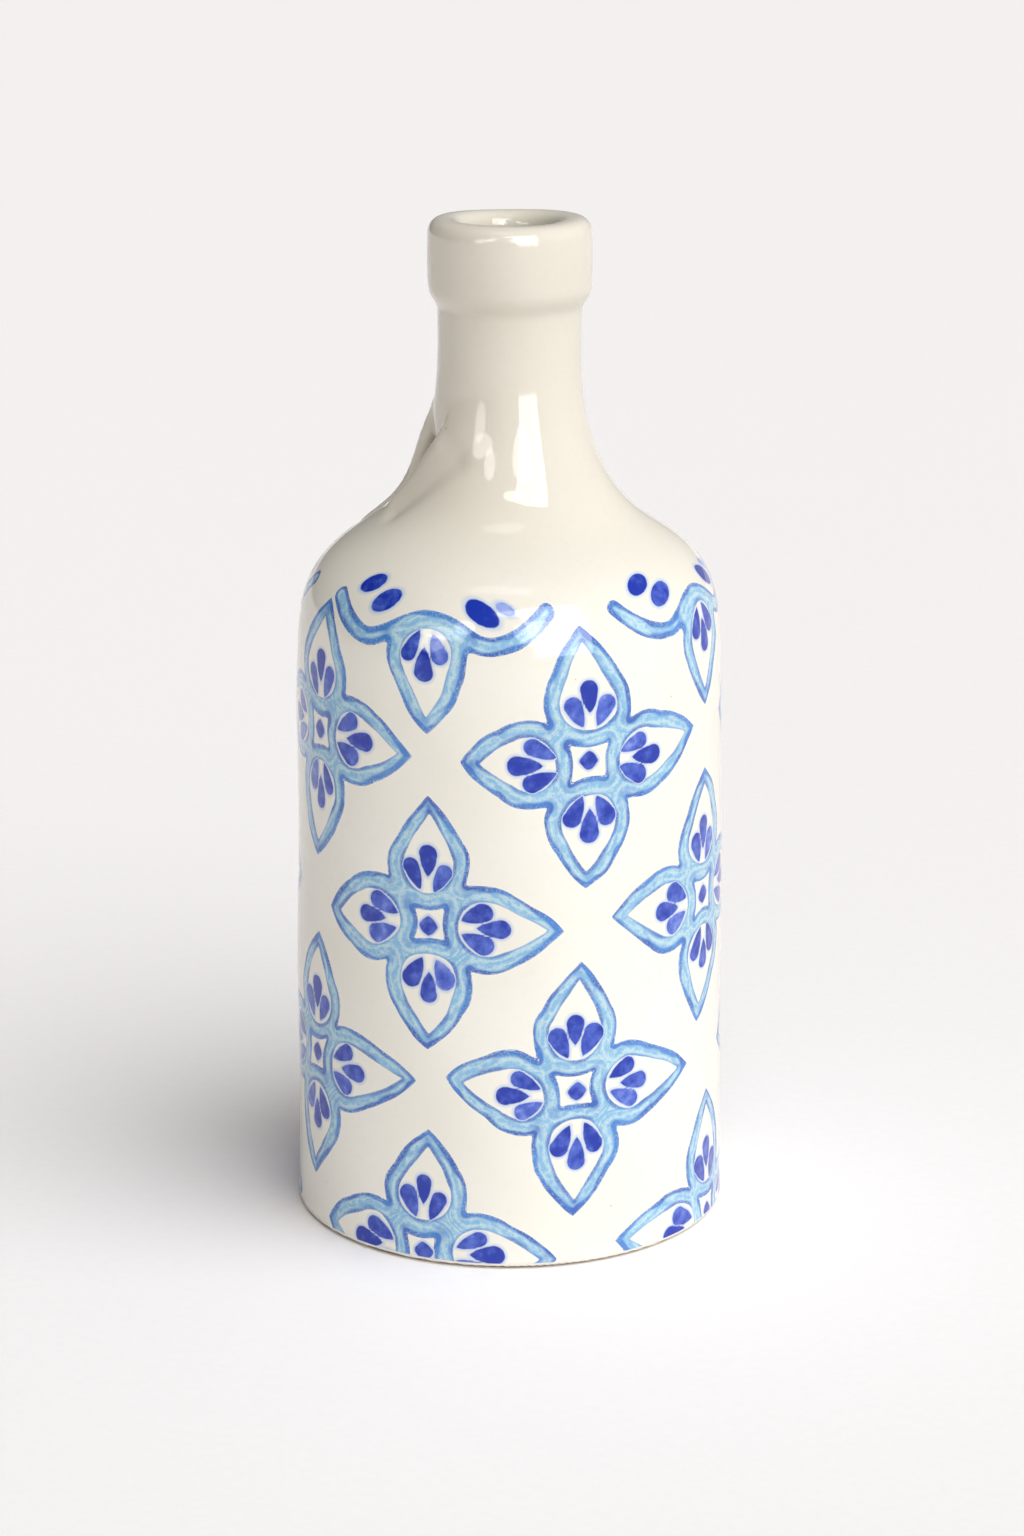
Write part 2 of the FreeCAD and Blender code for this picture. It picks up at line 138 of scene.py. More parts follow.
# Flowers that were painted a little out of line: column, row, turn, height, then how far the right,
# upper, left and lower tips reach and how far each leans to its own left.
UNEVEN_FLOWERS = [
    (0, 3, -25.4, 115.0, (28.1, 28.2, 28.0, 28.3), (-0.9, 0.7, 0.0, -0.9)),
    (0, 1, -28.3, 40.3, (31.0, 28.6, 28.5, 28.7), (1.5, -1.0, 0.0, -0.9)),
    (1, 2, 13.6, 77.4, (29.0, 28.8, 27.4, 27.8), (-0.9, -0.2, 1.0, -0.3)),
    (1, 0, 12.1, 3.0, (29.0, 27.8, 27.1, 28.0), (-1.0, -0.7, -0.9, 0.0)),
    (2, 3, 56.0, 113.5, (29.9, 29.2, 27.2, 27.8), (2.1, 1.4, -0.6, -0.3)),
    (2, 1, 52.7, 40.5, (30.7, 28.9, 27.6, 28.6), (-0.4, -0.7, -2.9, -0.6)),
    (3, 2, 98.4, 77.1, (28.5, 28.4, 29.1, 28.2), (0.0, -0.7, -1.4, -2.1)),
    (3, 0, 101.7, 2.0, (28.5, 29.3, 31.2, 28.0), (0.0, 0.5, -2.2, 0.0)),
]
# The waving stroke over each shoulder petal, as points of the motif's plan.
WAVE = [
    (-28.5, -3.0), (-24.1, -7.0), (-19.2, -9.9), (-13.8, -10.6), (-9.4, -8.1), (-4.4, -5.4),
    (0.6, -5.0), (6.1, -6.2), (10.0, -9.0), (13.8, -10.8), (18.1, -9.9), (22.5, -7.0), (26.8, -2.9),
]
# Drops in a petal: side, start of its point, length, radius, outward lean in degrees, darkness.
PETAL_DABS = [
    (-1, 7.3, 5.5, 2.05, 25.0, 0.45), (1, 7.3, 5.5, 2.05, 25.0, 0.45), (0, 10.3, 5.4, 2.05, 0.0, 0.75),
]
# Cobalt dabs above the wave: across, up, half length, half width, tilt in degrees, darkness.
WAVE_DABS = [
    (-19.0, 1.1, 4.1, 2.2, 24.0, 0.85), (-13.0, -2.2, 4.2, 2.3, 28.0, 0.55),
    (12.3, -3.0, 4.7, 2.2, -27.0, 1.0), (17.8, -1.9, 2.6, 1.2, -25.0, -0.2),
]

# ---------------------------------------------------------------- curves and distances


def spline(points, count):
    """Points along a clamped uniform cubic B-spline."""
    degree = 3
    poles = np.array(points, float)
    spans = len(poles) - degree
    knots = np.concatenate([np.zeros(degree), np.arange(spans + 1), np.full(degree, spans)]).astype(float)
    place = np.linspace(0.0, spans - 1e-9, count)
    basis = [((place >= low) & (place < high)).astype(float) for low, high in zip(knots, knots[1:])]
    for order in range(1, degree + 1):
        raised = []
        for i in range(len(basis) - 1):
            rising = knots[i + order] - knots[i]
            falling = knots[i + order + 1] - knots[i + 1]
            value = np.zeros(count)
            if rising > 0:
                value += (place - knots[i]) / rising * basis[i]
            if falling > 0:
                value += (knots[i + order + 1] - place) / falling * basis[i + 1]
            raised.append(value)
        basis = raised
    return np.array(basis).T @ poles


OUTER = spline(OUTER_CURVE, 20000)
OUTER_SLOPE = np.gradient(OUTER[:, 1], OUTER[:, 0])
OUTER_LENGTH = OUTER[0, 0] + np.concatenate([[0.0], np.cumsum(np.hypot(*np.diff(OUTER, axis=0).T))])
STRAP = spline(STRAP_CURVE, 40)


def smooth_min(a, b, blend):
    """The smaller of two distances, eased over a blend."""
    overlap = np.maximum(blend - np.abs(a - b), 0.0) / blend
    return np.minimum(a, b) - overlap ** 2 * blend / 4


def smooth_max(a, b, blend):
    """The larger of two distances, eased over a blend."""
    return -smooth_min(-a, -b, blend)


def collar_form(radius, height):
    """Distance outside the barrel-shaped collar, with its chamfer below and rounded brow above."""
    belly = radius - COLLAR_BELLY[1] + ((height - COLLAR_BELLY[0]) / COLLAR_BOW) ** 2
    rise, overhang = COLLAR_CHAMFER
    chamfer = ((radius - COLLAR_CREASE[1]) * rise - (height - COLLAR_CREASE[0]) * overhang) / sqrt(
        rise ** 2 + overhang ** 2)
    dome = height - RIM + 0.02 * (radius - 13.5) ** 2
    return smooth_max(smooth_max(belly, chamfer, BELLY_ROUNDING), dome, BROW_ROUNDING)


def pocket_form(reach, side, radius, height):
    """Distance outside the hollow behind the handle, where the flare is cut back to the neck."""
    floor_height, floor_slope = POCKET_FLOOR
    floor = (floor_height + floor_slope * (radius - POCKET_RADIUS) - height) / sqrt(1 + floor_slope ** 2)
    side_height, half_angle, change = POCKET_SIDES
    limit = np.radians(half_angle + change * (height - side_height))
    wall = radius * (np.abs(np.arctan2(side, reach)) - limit)
    fade_low, fade_high, come_out = POCKET_FADE
    shallow = come_out * np.clip((height - fade_low) / (fade_high - fade_low), 0.0, 1.0)
    return smooth_max(smooth_max(POCKET_RADIUS + shallow - radius, wall, 1.6), floor, 3.0)


def crease_depth(x, side, height):
    """How deep the thumbed creases are, each fading away from a line; a ridge is a negative depth."""
    depth = np.zeros(x.shape)
    place = np.stack([x, side, height], -1)
    for start, end, deep, half_width in CREASES:
        step = np.subtract(end, start)
        share = np.clip((place - start) @ step / (step @ step), 0.0, 1.0)
        gap = np.linalg.norm(place - start - share[:, None] * step, axis=1)
        depth += deep * np.exp(-(gap / half_width) ** 2)
    return depth


def strap_form(reach, side, height):
    """Distance outside the strap, a rounded band bent along its middle line."""
    nearest = np.full(reach.shape, np.inf)
    for (low_h, low_r), (high_h, high_r) in zip(STRAP, STRAP[1:]):
        step = np.array([high_h - low_h, high_r - low_r])
        share = ((height - low_h) * step[0] + (reach - low_r) * step[1]) / (step @ step)
        share = np.clip(share, 0.0, 1.0)
        gap = np.hypot(height - low_h - share * step[0], reach - low_r - share * step[1])
        nearest = np.minimum(nearest, gap)
    wider, below, drop = STRAP_SPREAD
    spread = wider * np.clip((below - height) / drop, 0.0, 1.0)
    thick = nearest - STRAP_HALF_THICKNESS + STRAP_ROUNDING
    wide = np.abs(side) - STRAP_HALF_WIDTH - spread + STRAP_ROUNDING
    corner = np.hypot(np.maximum(thick, 0.0), np.maximum(wide, 0.0))
    return np.minimum(np.maximum(thick, wide), 0.0) + corner - STRAP_ROUNDING


def hand_waves(count, shortest, longest, height):
    """Seeded waves that make a thrown surface slightly uneven: direction, phase, height."""
    chance = np.random.RandomState(SEED)
    waves = []
    for _ in range(count):
        direction = chance.normal(size=3)
        direction /= np.linalg.norm(direction)
        length = chance.uniform(shortest, longest)
        waves.append((direction * 2 * pi / length, chance.uniform(0, 2 * pi), height * length / longest))
    return waves


SURFACE_WAVES = hand_waves(*SURFACE_UNEVEN)


def pot_form(points):
    """Distance outside the glazed pot, in millimetres: wall, collar, pocket, strap, creases and bore."""
    x, y, height = points.T
    radius = np.hypot(x, y)
    reach = -x
    wall_radius = np.interp(height, OUTER[:, 0], OUTER[:, 1])
    slope = np.interp(height, OUTER[:, 0], OUTER_SLOPE, left=0.0, right=0.0)
    form = (radius - wall_radius) / np.sqrt(1 + slope ** 2)
    form = np.where(height > RIM - 4, np.maximum(form, height - RIM + 4), form)
    form = smooth_min(form, collar_form(radius, height), COLLAR_JOIN)
    behind = (reach > HANDLE_FROM) & (height > HANDLE_HEIGHTS[0]) & (height < HANDLE_HEIGHTS[1])
    pocket = pocket_form(reach[behind], y[behind], radius[behind], height[behind])
    form[behind] = smooth_max(form[behind], -pocket, POCKET_JOIN)
    near = behind & (reach > STRAP_ZONE[0]) & (np.abs(y) < STRAP_ZONE[1])
    on_neck, more, below, drop = STRAP_JOIN
    join = on_neck + more * np.clip((below - height[near]) / drop, 0.0, 1.0)
    form[near] = smooth_min(form[near], strap_form(reach[near], y[near], height[near]), join)
    form[behind] += crease_depth(x[behind], np.abs(y[behind]), height[behind])
    bore = np.maximum(radius - BORE_RADIUS, BORE_END - height)
    form = smooth_max(form, -bore, LIP_ROUNDING)
    form = smooth_max(form, COAT_FOOT - height, FOOT_ROUNDING)
    steady = np.clip((height - STEADY_FOOT[0]) / (STEADY_FOOT[1] - STEADY_FOOT[0]), 0.0, 1.0)
    for wave, phase, swell in SURFACE_WAVES:
        form += steady * swell * np.sin(points @ wave + phase)
    return form


def pot_slope(points):
    """Gradient of pot_form."""
    step = 0.03
    slopes = []
    for axis in range(3):
        shift = np.zeros(3)
        shift[axis] = step
        slopes.append((pot_form(points + shift) - pot_form(points - shift)) / (2 * step))
    return np.array(slopes).T


def settle(points, rounds):
    """Points moved onto the pot's surface."""
    for _ in range(rounds):
        slope = pot_slope(points)
        step = pot_form(points)[:, None] * slope / np.maximum((slope ** 2).sum(1), 0.2)[:, None]
        points = points - np.clip(step, -1.5, 1.5)
    return points


def outward(points):
    """Unit normals of the pot's surface."""
    slope = pot_slope(points)
    return slope / np.linalg.norm(slope, axis=1)[:, None]


# ---------------------------------------------------------------- meshes


def link_object(name, data):
    """A new object in the scene."""
    made = bpy.data.objects.new(name, data)
    bpy.context.scene.collection.objects.link(made)
    return made


def make_piece(name, points, faces, normals=None, fields=None):
    """A smooth mesh piece from points in millimetres, with per-point vectors for its material."""
    mesh = bpy.data.meshes.new(name)
    mesh.from_pydata((np.asarray(points) * MM).tolist(), [], faces)
    mesh.shade_smooth()
    for label, values in (fields or {}).items():
        layer = mesh.attributes.new(label, "FLOAT_VECTOR", "POINT")
        layer.data.foreach_set("vector", np.asarray(values, np.float32).ravel())
    if normals is not None:
        mesh.normals_split_custom_set_from_vertices(normals.tolist())
    return link_object(name, mesh)


def used_only(points, faces, extras):
    """The points that some face uses, their extra arrays, and the faces renumbered."""
    used = np.unique(faces)
    number = np.full(len(points), -1)
    number[used] = np.arange(len(used))
    return points[used], number[faces], [extra[used] for extra in extras]


def surface_net(form, low, high, pitch):
    """Quads round the zero surface of a form, one point for each grid cell that the surface crosses."""
    ticks = [np.arange(a, b + pitch, pitch) for a, b in zip(low, high)]
    grid = np.stack(np.meshgrid(*ticks, indexing="ij"), -1)
    inside = form(grid.reshape(-1, 3)).reshape(grid.shape[:3]) < 0
    cells = [n - 1 for n in inside.shape]
    corners = np.zeros(cells, int)
    for i in (0, 1):
        for j in (0, 1):
            for k in (0, 1):
                corners += inside[i:i + cells[0], j:j + cells[1], k:k + cells[2]]
    crossed = (corners > 0) & (corners < 8)
    number = np.full(cells, -1)
    number[crossed] = np.arange(crossed.sum())
    points = np.array(low) + (np.argwhere(crossed) + 0.5) * pitch
    faces = []
    for axis in range(3):
        first = np.moveaxis(inside, axis, 0)
        order = np.moveaxis(number, axis, 0)
        changed = first[:-1] != first[1:]
        i, j, k = np.nonzero(changed[:, 1:-1, 1:-1])
        quads = np.stack([order[i, j, k], order[i, j + 1, k], order[i, j + 1, k + 1], order[i, j, k + 1]], 1)
        leaving = first[:-1][:, 1:-1, 1:-1][i, j, k]
        flipped = leaving if axis != 1 else ~leaving
        quads[~flipped] = quads[~flipped][:, ::-1]
        faces.append(quads)
    return points, np.concatenate(faces)


def relax(points, faces, rounds):
    """Points spread evenly over the pot's surface."""
    ends = np.concatenate([faces[:, [i, (i + 1) % 4]] for i in range(4)])
    ends = np.concatenate([ends, ends[:, ::-1]])
    share = np.bincount(ends[:, 0], minlength=len(points)).astype(float)
    hold = 0.4
    for _ in range(rounds):
        total = np.stack([np.bincount(ends[:, 0], points[ends[:, 1], axis], len(points))
                          for axis in range(3)], 1)
        points = settle(hold * points + (1 - hold) * total / share[:, None], 1)
    return points


def turned_piece(name, profile, segments, inward=False):
    """A lathe-turned mesh. A profile point is (radius, height), and a radius of zero is a pole."""
    points = []
    rings = []
    for radius, height in profile:
        if radius == 0:
            rings.append([len(points)] * segments)
            points.append((0.0, 0.0, height))
            continue
        rings.append(list(range(len(points), len(points) + segments)))
        for step in range(segments):
            turn = 2 * pi * step / segments
            points.append((radius * cos(turn), radius * sin(turn), height))
    faces = []
    for lower, upper in zip(rings, rings[1:]):
        for step in range(segments):
            after = (step + 1) % segments
            corners = [lower[step], lower[after], upper[after], upper[step]]
            face = list(dict.fromkeys(corners))
            faces.append(face[::-1] if inward else face)
    return make_piece(name, points, faces)


# ---------------------------------------------------------------- the pot


def glaze_coat():
    """The glazed outside: wall, shoulder, neck, collar, lip and handle in one skin."""
    low = (-COAT_REACH, -COAT_REACH, -2.0)
    high = (COAT_REACH, COAT_REACH, RIM + 2.5)
    points, faces = surface_net(pot_form, low, high, COAT_PITCH)
    points = relax(settle(points, 3), faces, 5)
    middle = points[faces].mean(1)
    radius = np.hypot(middle[:, 0], middle[:, 1])
    under_foot = (middle[:, 2] < COAT_FOOT + 0.4) & (radius < 45.0)
    bore_end = (middle[:, 2] < BORE_END + 2.5) & (radius < BORE_RADIUS + 1.0) & (middle[:, 2] > 100)
    points, faces, _ = used_only(points, faces[~(under_foot | bore_end)], [])
    points = settle(points, 2)
    return make_piece("glaze_coat", points, faces.tolist(), outward(points))


def inner_coat():
    """The glaze inside the pot, with the rings of the thrower's fingers."""
    curve = spline(INNER_CURVE, 110)[::-1]
    profile = []
    for height, radius in curve:
        ripple = 0.12 * sin(height * 0.55) * np.clip((176 - height) / 20, 0, 1)
        profile.append((radius + ripple, height))
    floor_height = INNER_CURVE[0][0]
    for step in range(26, 0, -1):
        radius = 1.5 * step
        profile.append((radius, floor_height + 0.12 * sin(radius * 0.9)))
    profile.append((0, floor_height + 0.1))
    return turned_piece("inner_coat", profile, 96)


def bare_foot():
    """The unglazed clay foot: a worn ring round a shallow recess with turning marks."""
    profile = [(0, 1.25)]
    for step in range(1, 73):
        radius = 0.5 * step
        profile.append((radius, 1.22 + 0.07 * sin(radius * 2.6) - 0.0001 * radius ** 2))
    profile += [(36.7, 1.0), (37.2, 0.6), (37.8, 0.22), (38.6, 0.04), (39.6, 0.0), (42.0, 0.02),
                (44.4, 0.0), (45.4, 0.06), (46.05, 0.28), (46.4, 0.62), (46.5, 1.1), (46.5, 2.6), (0, 2.6)]
    return turned_piece("bare_foot", profile, 160, inward=True)


# ---------------------------------------------------------------- the painted motifs


def teardrop(across, along, radius, reach, bulge):
    """Distance outside a drop, round about the origin and pointed at reach."""
    across = np.abs(across)
    lean = radius / reach
    rise = sqrt(1 - lean ** 2)
    share = (along * rise - across * lean) / (rise * reach)
    side = across * rise + along * lean - radius - bulge * 4 * share * (1 - share)
    end = np.where(share < 0, np.hypot(across, along) - radius, np.hypot(across, along - reach))
    return np.where((share < 0) | (share > 1), end, side)


def hand_shift(across, up, chance, height):
    """A plan shaken by slow seeded waves, as a hand-held brush shakes it."""
    shifts = []
    for _ in range(2):
        shift = np.zeros(across.shape)
        for length in (21.0, 11.0, 6.0):
            for _ in range(2):
                angle, phase = chance.uniform(0, 2 * pi, 2)
                wave = (across * cos(angle) + up * sin(angle)) * 2 * pi / length
                shift += height * (length / 21.0) ** 1.5 * np.sin(wave + phase)
        shifts.append(shift)
    return across + shifts[0], up + shifts[1]


def petal_plan(across, up, petal):
    """The plan turned to a petal's own: aside, and out from the middle of its round end."""
    turn = radians(petal["angle"])
    out = across * cos(turn) + up * sin(turn) - petal["out"]
    aside = -across * sin(turn) + up * cos(turn)
    return aside - petal["lean"] * out / (petal["reach"] - petal["out"]), out


def edge_distance(values, across, up, spots):
    """Distance from each spot to the line where a grid of values is zero."""
    crossings = []
    for axis in (0, 1):
        first = np.moveaxis(values, axis, 0)
        a = np.moveaxis(across, axis, 0)
        u = np.moveaxis(up, axis, 0)
        i, j = np.nonzero((first[:-1] < 0) != (first[1:] < 0))
        share = first[i, j] / (first[i, j] - first[i + 1, j])
        crossings.append(np.stack([a[i, j] + share * (a[i + 1, j] - a[i, j]),
                                   u[i, j] + share * (u[i + 1, j] - u[i, j])], 1))
    crossings = np.concatenate(crossings)
    nearest = np.full(len(spots), np.inf)
    for start in range(0, len(crossings), 400):
        batch = crossings[start:start + 400]
        gaps = np.hypot(spots[:, None, 0] - batch[None, :, 0], spots[:, None, 1] - batch[None, :, 1])
        nearest = np.minimum(nearest, gaps.min(1))
    return nearest


def on_wall(flower, across, up):
    """Places on the bare wall, from places on a motif's plan."""
    length = flower["height"] + up
    height = np.interp(length, OUTER_LENGTH, OUTER[:, 0])
    radius = np.interp(height, OUTER[:, 0], OUTER[:, 1])
    turn = np.radians(flower["turn"]) + across / WALL_RADIUS
    return np.stack([radius * np.sin(turn), -radius * np.cos(turn), height], -1)


def keep_off(flower, across, up):
    """Distance outside the part of the pot that may be painted: not the foot, not the handle."""
    length = flower["height"] + up
    turn = flower["turn"] + np.degrees(across / WALL_RADIUS)
    aside = (HANDLE_CLEAR[0] - np.abs((turn - HANDLE_TURN + 180) % 360 - 180)) * radians(1) * WALL_RADIUS
    return np.maximum(PAINT_LOWEST - length, np.minimum(aside, length - HANDLE_CLEAR[1]))


def patch(flower, paint, margin, lift):
    """A thin skin of paint on the pot, wherever the paint's distance is under the margin.

    paint(flower, across, up) gives the distance and a function that gives the fields of chosen spots.
    """
    ticks = np.arange(-PLAN_REACH, PLAN_REACH, PLAN_CELL)
    across, up = np.meshgrid(ticks, ticks, indexing="ij")
    distance, fields_at = paint(flower, across, up)
    distance = np.maximum(distance, keep_off(flower, across, up))
    wanted = distance < margin
    cells = wanted[:-1, :-1] | wanted[1:, :-1] | wanted[:-1, 1:] | wanted[1:, 1:]
    i, j = np.nonzero(cells)
    if not len(i):
        return None
    columns = len(ticks)
    first = i * columns + j
    faces = np.stack([first, first + columns, first + columns + 1, first + 1], 1)
    slope = np.stack(np.gradient(distance, PLAN_CELL), -1)
    slope /= np.maximum(np.linalg.norm(slope, axis=-1), 0.3)[..., None]
    outside = np.clip(distance - margin, 0.0, 1.5 * PLAN_CELL)
    plan = np.stack([across, up], -1) - outside[..., None] * slope
    plan, faces, (distance,) = used_only(plan.reshape(-1, 2), faces, [distance.reshape(-1)])
    points = settle(on_wall(flower, plan[:, 0], plan[:, 1]), 2)
    normals = outward(points)
    sunk = np.clip((margin - distance) / margin, 0.0, 1.0)
    points = points + normals * (lift * sunk - 0.012)[:, None]
    return points, faces, normals, fields_at(plan)


def petal_distances(flower, across, up):
    """Distances outside each petal's outer edge and outside each petal's hole."""
    outers = []
    holes = []
    for petal in flower["petals"]:
        aside, out = petal_plan(across, up, petal)
        reach = petal["reach"] - petal["out"]
        outers.append(teardrop(aside, out, petal["radius"], reach, PETAL_BULGE))
        hole_radius = HOLE_RADIUS * petal["radius"] / PETAL_RADIUS
        holes.append(teardrop(aside, out, hole_radius, reach - HOLE_SHORT, HOLE_BULGE))
    return outers, holes


def outline_paint(flower, across, up):
    """The light-blue outlines of a motif. Fields: outer and inner edge distances and pools of colour."""
    shaken = hand_shift(across, up, np.random.RandomState(flower["seed"]), OUTLINE_SHAKE)

    def outer_and_hole(a, b):
        outers, holes = petal_distances(flower, a, b)
        outer = outers[0]
        for other in outers[1:]:
            outer = smooth_min(outer, other, 0.7)
        if flower["wave"] is not None:
            outer = smooth_min(outer, wave_distance(flower, a, b) - WAVE_HALF_WIDTH, 1.2)
        return outer, np.minimum.reduce(holes)

    outer, hole = outer_and_hole(*shaken)

    def fields_at(plan):
        a, b = hand_shift(plan[:, 0], plan[:, 1], np.random.RandomState(flower["seed"]), OUTLINE_SHAKE)
        _, spot_hole = outer_and_hole(a, b)
        edge = edge_distance(outer, across, up, plan)
        pool = np.zeros(len(plan))
        chance = np.random.RandomState(flower["seed"] + 1)
        for x, y in flower["pools"]:
            size = chance.uniform(0.9, 1.7)
            pool += chance.uniform(0.35, 1.0) * np.exp(-((a - x) ** 2 + (b - y) ** 2) / size ** 2)
        return {"paint_edges": np.stack([edge, spot_hole, pool], 1)}

    return np.maximum(outer, -hole), fields_at


def wave_distance(flower, across, up):
    """Distance from the middle of the waving shoulder stroke."""
    nearest = np.full(across.shape, np.inf)
    line = flower["wave"]
    for (ax, ay), (bx, by) in zip(line, line[1:]):
        share = ((across - ax) * (bx - ax) + (up - ay) * (by - ay)) / ((bx - ax) ** 2 + (by - ay) ** 2)
        share = np.clip(share, 0.0, 1.0)
        nearest = np.minimum(nearest, np.hypot(across - ax - share * (bx - ax), up - ay - share * (by - ay)))
    return nearest


def dab_distance(across, up, dab):
    """Distance outside a cobalt dab: a drop or an oval."""
    turn = radians(dab["tilt"])
    along = (across - dab["across"]) * cos(turn) + (up - dab["up"]) * sin(turn)
    aside = -(across - dab["across"]) * sin(turn) + (up - dab["up"]) * cos(turn)
    if dab["pointed"]:
        return teardrop(aside, -along, dab["radius"], dab["length"], DAB_BULGE)
    oval = np.hypot(along / dab["length"], aside / dab["radius"])
    return (oval - 1) * dab["radius"] * (0.75 + 0.25 * oval)


def cobalt_paint(flower, across, up):
    """The cobalt dabs of a motif. Fields: distance inside the edge, and darkness."""
    def nearest_dab(a, b):
        a, b = hand_shift(a, b, np.random.RandomState(flower["seed"] + 2), DAB_SHAKE)
        distance = np.full(a.shape, 9.0)
        second = np.full(a.shape, 9.0)
        tone = np.zeros(a.shape)
        for dab in flower["dabs"]:
            found = dab_distance(a, b, dab)
            tone = np.where(found < distance, dab["tone"], tone)
            second = np.minimum(second, np.maximum(found, distance))
            distance = np.minimum(distance, found)
        return np.maximum(distance, DAB_GAP - (second - distance) / 2), tone

    distance, _ = nearest_dab(across, up)

    def fields_at(plan):
        spot, tone = nearest_dab(plan[:, 0], plan[:, 1])
        return {"paint_edges": np.stack([-spot, tone, np.zeros(len(plan))], 1)}

    return distance, fields_at


def diamond_paint(flower, across, up):
    """The cobalt diamond in the middle of a flower."""
    def diamond(a, b):
        a, b = hand_shift(a, b, np.random.RandomState(flower["seed"] + 3), DIAMOND_SHAKE)
        rounded = 1.4
        reach = (np.abs(a) ** rounded + np.abs(b) ** rounded) ** (1 / rounded)
        return (reach - DIAMOND_REACH) / sqrt(2)

    def fields_at(plan):
        spot = diamond(plan[:, 0], plan[:, 1])
        return {"paint_edges": np.stack([-spot, np.full(len(plan), 0.55), np.zeros(len(plan))], 1)}

    return diamond(across, up), fields_at


def petal_dabs(petal, chance):
    """Three drops inside a petal: two that lean out and a darker one between and beyond them."""
    dabs = []
    for side, start, length, radius, lean, tone in PETAL_DABS:
        angle = petal["angle"] + side * (lean + chance.uniform(-2, 2))
        length = length + chance.uniform(-0.35, 0.35)
        out = start + chance.uniform(-0.3, 0.3)
        aside = side * 1.5 - petal["lean"] * 0.2
        turn = radians(petal["angle"])
        across = out * cos(turn) - aside * sin(turn) + length * cos(radians(angle))
        up = out * sin(turn) + aside * cos(turn) + length * sin(radians(angle))
        dabs.append({"across": across, "up": up, "tilt": angle, "length": length, "pointed": True,
                     "radius": radius + chance.uniform(-0.2, 0.25),
                     "tone": tone + chance.uniform(-0.3, 0.3)})
    return dabs


def flower_plan(column, row):
    """One motif: a whole flower, or on the shoulder a lower petal under a waving stroke."""
    chance = np.random.RandomState(100 + 10 * column + row)
    uneven = [line[2:] for line in UNEVEN_FLOWERS if line[:2] == (column, row)]
    if uneven:
        turn, height, reaches, leans = uneven[0]
    else:
        turn = COLUMN_TURNS[column] + chance.uniform(-1.0, 1.0)
        height = ROW_HEIGHTS[row]
        reaches = PETAL_REACH + chance.uniform(-0.8, 1.2, 4)
        leans = chance.uniform(-1.5, 1.5, 4)
    on_shoulder = row == len(ROW_HEIGHTS) - 1
    petals = []
    for quarter in range(4):
        if on_shoulder and quarter != 3:
            continue
        petals.append({"angle": 90.0 * quarter, "out": PETAL_OUT + chance.uniform(-0.25, 0.25),
                       "radius": PETAL_RADIUS + chance.uniform(-0.35, 0.35),
                       "reach": reaches[quarter], "lean": leans[quarter]})
    dabs = [dab for petal in petals for dab in petal_dabs(petal, chance)]
    pools = [(petal["reach"] - 2.0, petal["angle"]) for petal in petals]
    wave = None
    if on_shoulder:
        wave = spline(np.array(WAVE) + chance.uniform(-0.35, 0.35, (len(WAVE), 2)), 60)
        pools = [(26.0, 270.0), (13.4, 219.0), (13.4, 321.0)]
        for across, up, length, width, tilt, tone in WAVE_DABS:
            dabs.append({"across": across + chance.uniform(-0.5, 0.5), "up": up, "tilt": tilt,
                         "length": length, "radius": width, "tone": tone, "pointed": False})
    else:
        pools += [(distance, 45.0 + 90.0 * quarter) for quarter in range(4) for distance in (6.2, 12.4)]
    pools = [(out * cos(radians(angle)), out * sin(radians(angle))) for out, angle in pools]
    return {"turn": turn, "height": height, "petals": petals, "dabs": dabs, "pools": pools,
            "wave": wave, "seed": 1000 + 10 * column + row, "whole": not on_shoulder}


def painted_piece(name, flowers, paint, margin, lift):
    """One piece of paint from the patches of several motifs."""
    points, faces, normals, fields = [], [], [], []
    count = 0
    for flower in flowers:
        made = patch(flower, paint, margin, lift)
        if made is None:
            continue
        points.append(made[0])
        faces.append(made[1] + count)
        normals.append(made[2])
        fields.append(made[3])
        count += len(made[0])
    joined = {label: np.concatenate([field[label] for field in fields]) for label in fields[0]}
    return make_piece(name, np.concatenate(points), np.concatenate(faces).tolist(),
                      np.concatenate(normals), joined)


# ---------------------------------------------------------------- material building blocks


def new_material(name):
    """A node material, its tree and its Principled shader."""
    material = bpy.data.materials.new(name)
    material.use_nodes = True
    tree = material.node_tree
    return material, tree, tree.nodes["Principled BSDF"]


def feed(tree, socket, value):
    """Put a number, a colour or another node's output into a socket."""
    if isinstance(value, bpy.types.NodeSocket):
        tree.links.new(value, socket)
    else:
        socket.default_value = value


def calc(tree, operation, *values):
    """A Math node's output."""
    node = tree.nodes.new("ShaderNodeMath")
    node.operation = operation
    for socket, value in zip(node.inputs, values):
        feed(tree, socket, value)
    return node.outputs[0]


def ramp(tree, value, low, high, start=0.0, end=1.0):
    """A value eased from start at low to end at high."""
    node = tree.nodes.new("ShaderNodeMapRange")
    node.interpolation_type = "SMOOTHSTEP"
    for socket, number in zip(node.inputs, (value, low, high, start, end)):
        feed(tree, socket, number)
    return node.outputs[0]


def swing(tree, value, height):
    """A noise from 0 to 1 made into a swing of this height about zero."""
    return calc(tree, "MULTIPLY", calc(tree, "SUBTRACT", value, 0.5), height)


def blend(tree, share, first, second, kind="MIX"):
    """A mix of two colours, or one tinted by the other."""
    node = tree.nodes.new("ShaderNodeMix")
    node.data_type = "RGBA"
    node.blend_type = kind
    feed(tree, node.inputs[0], share)
    feed(tree, node.inputs[6], first)
    feed(tree, node.inputs[7], second)
    return node.outputs[2]


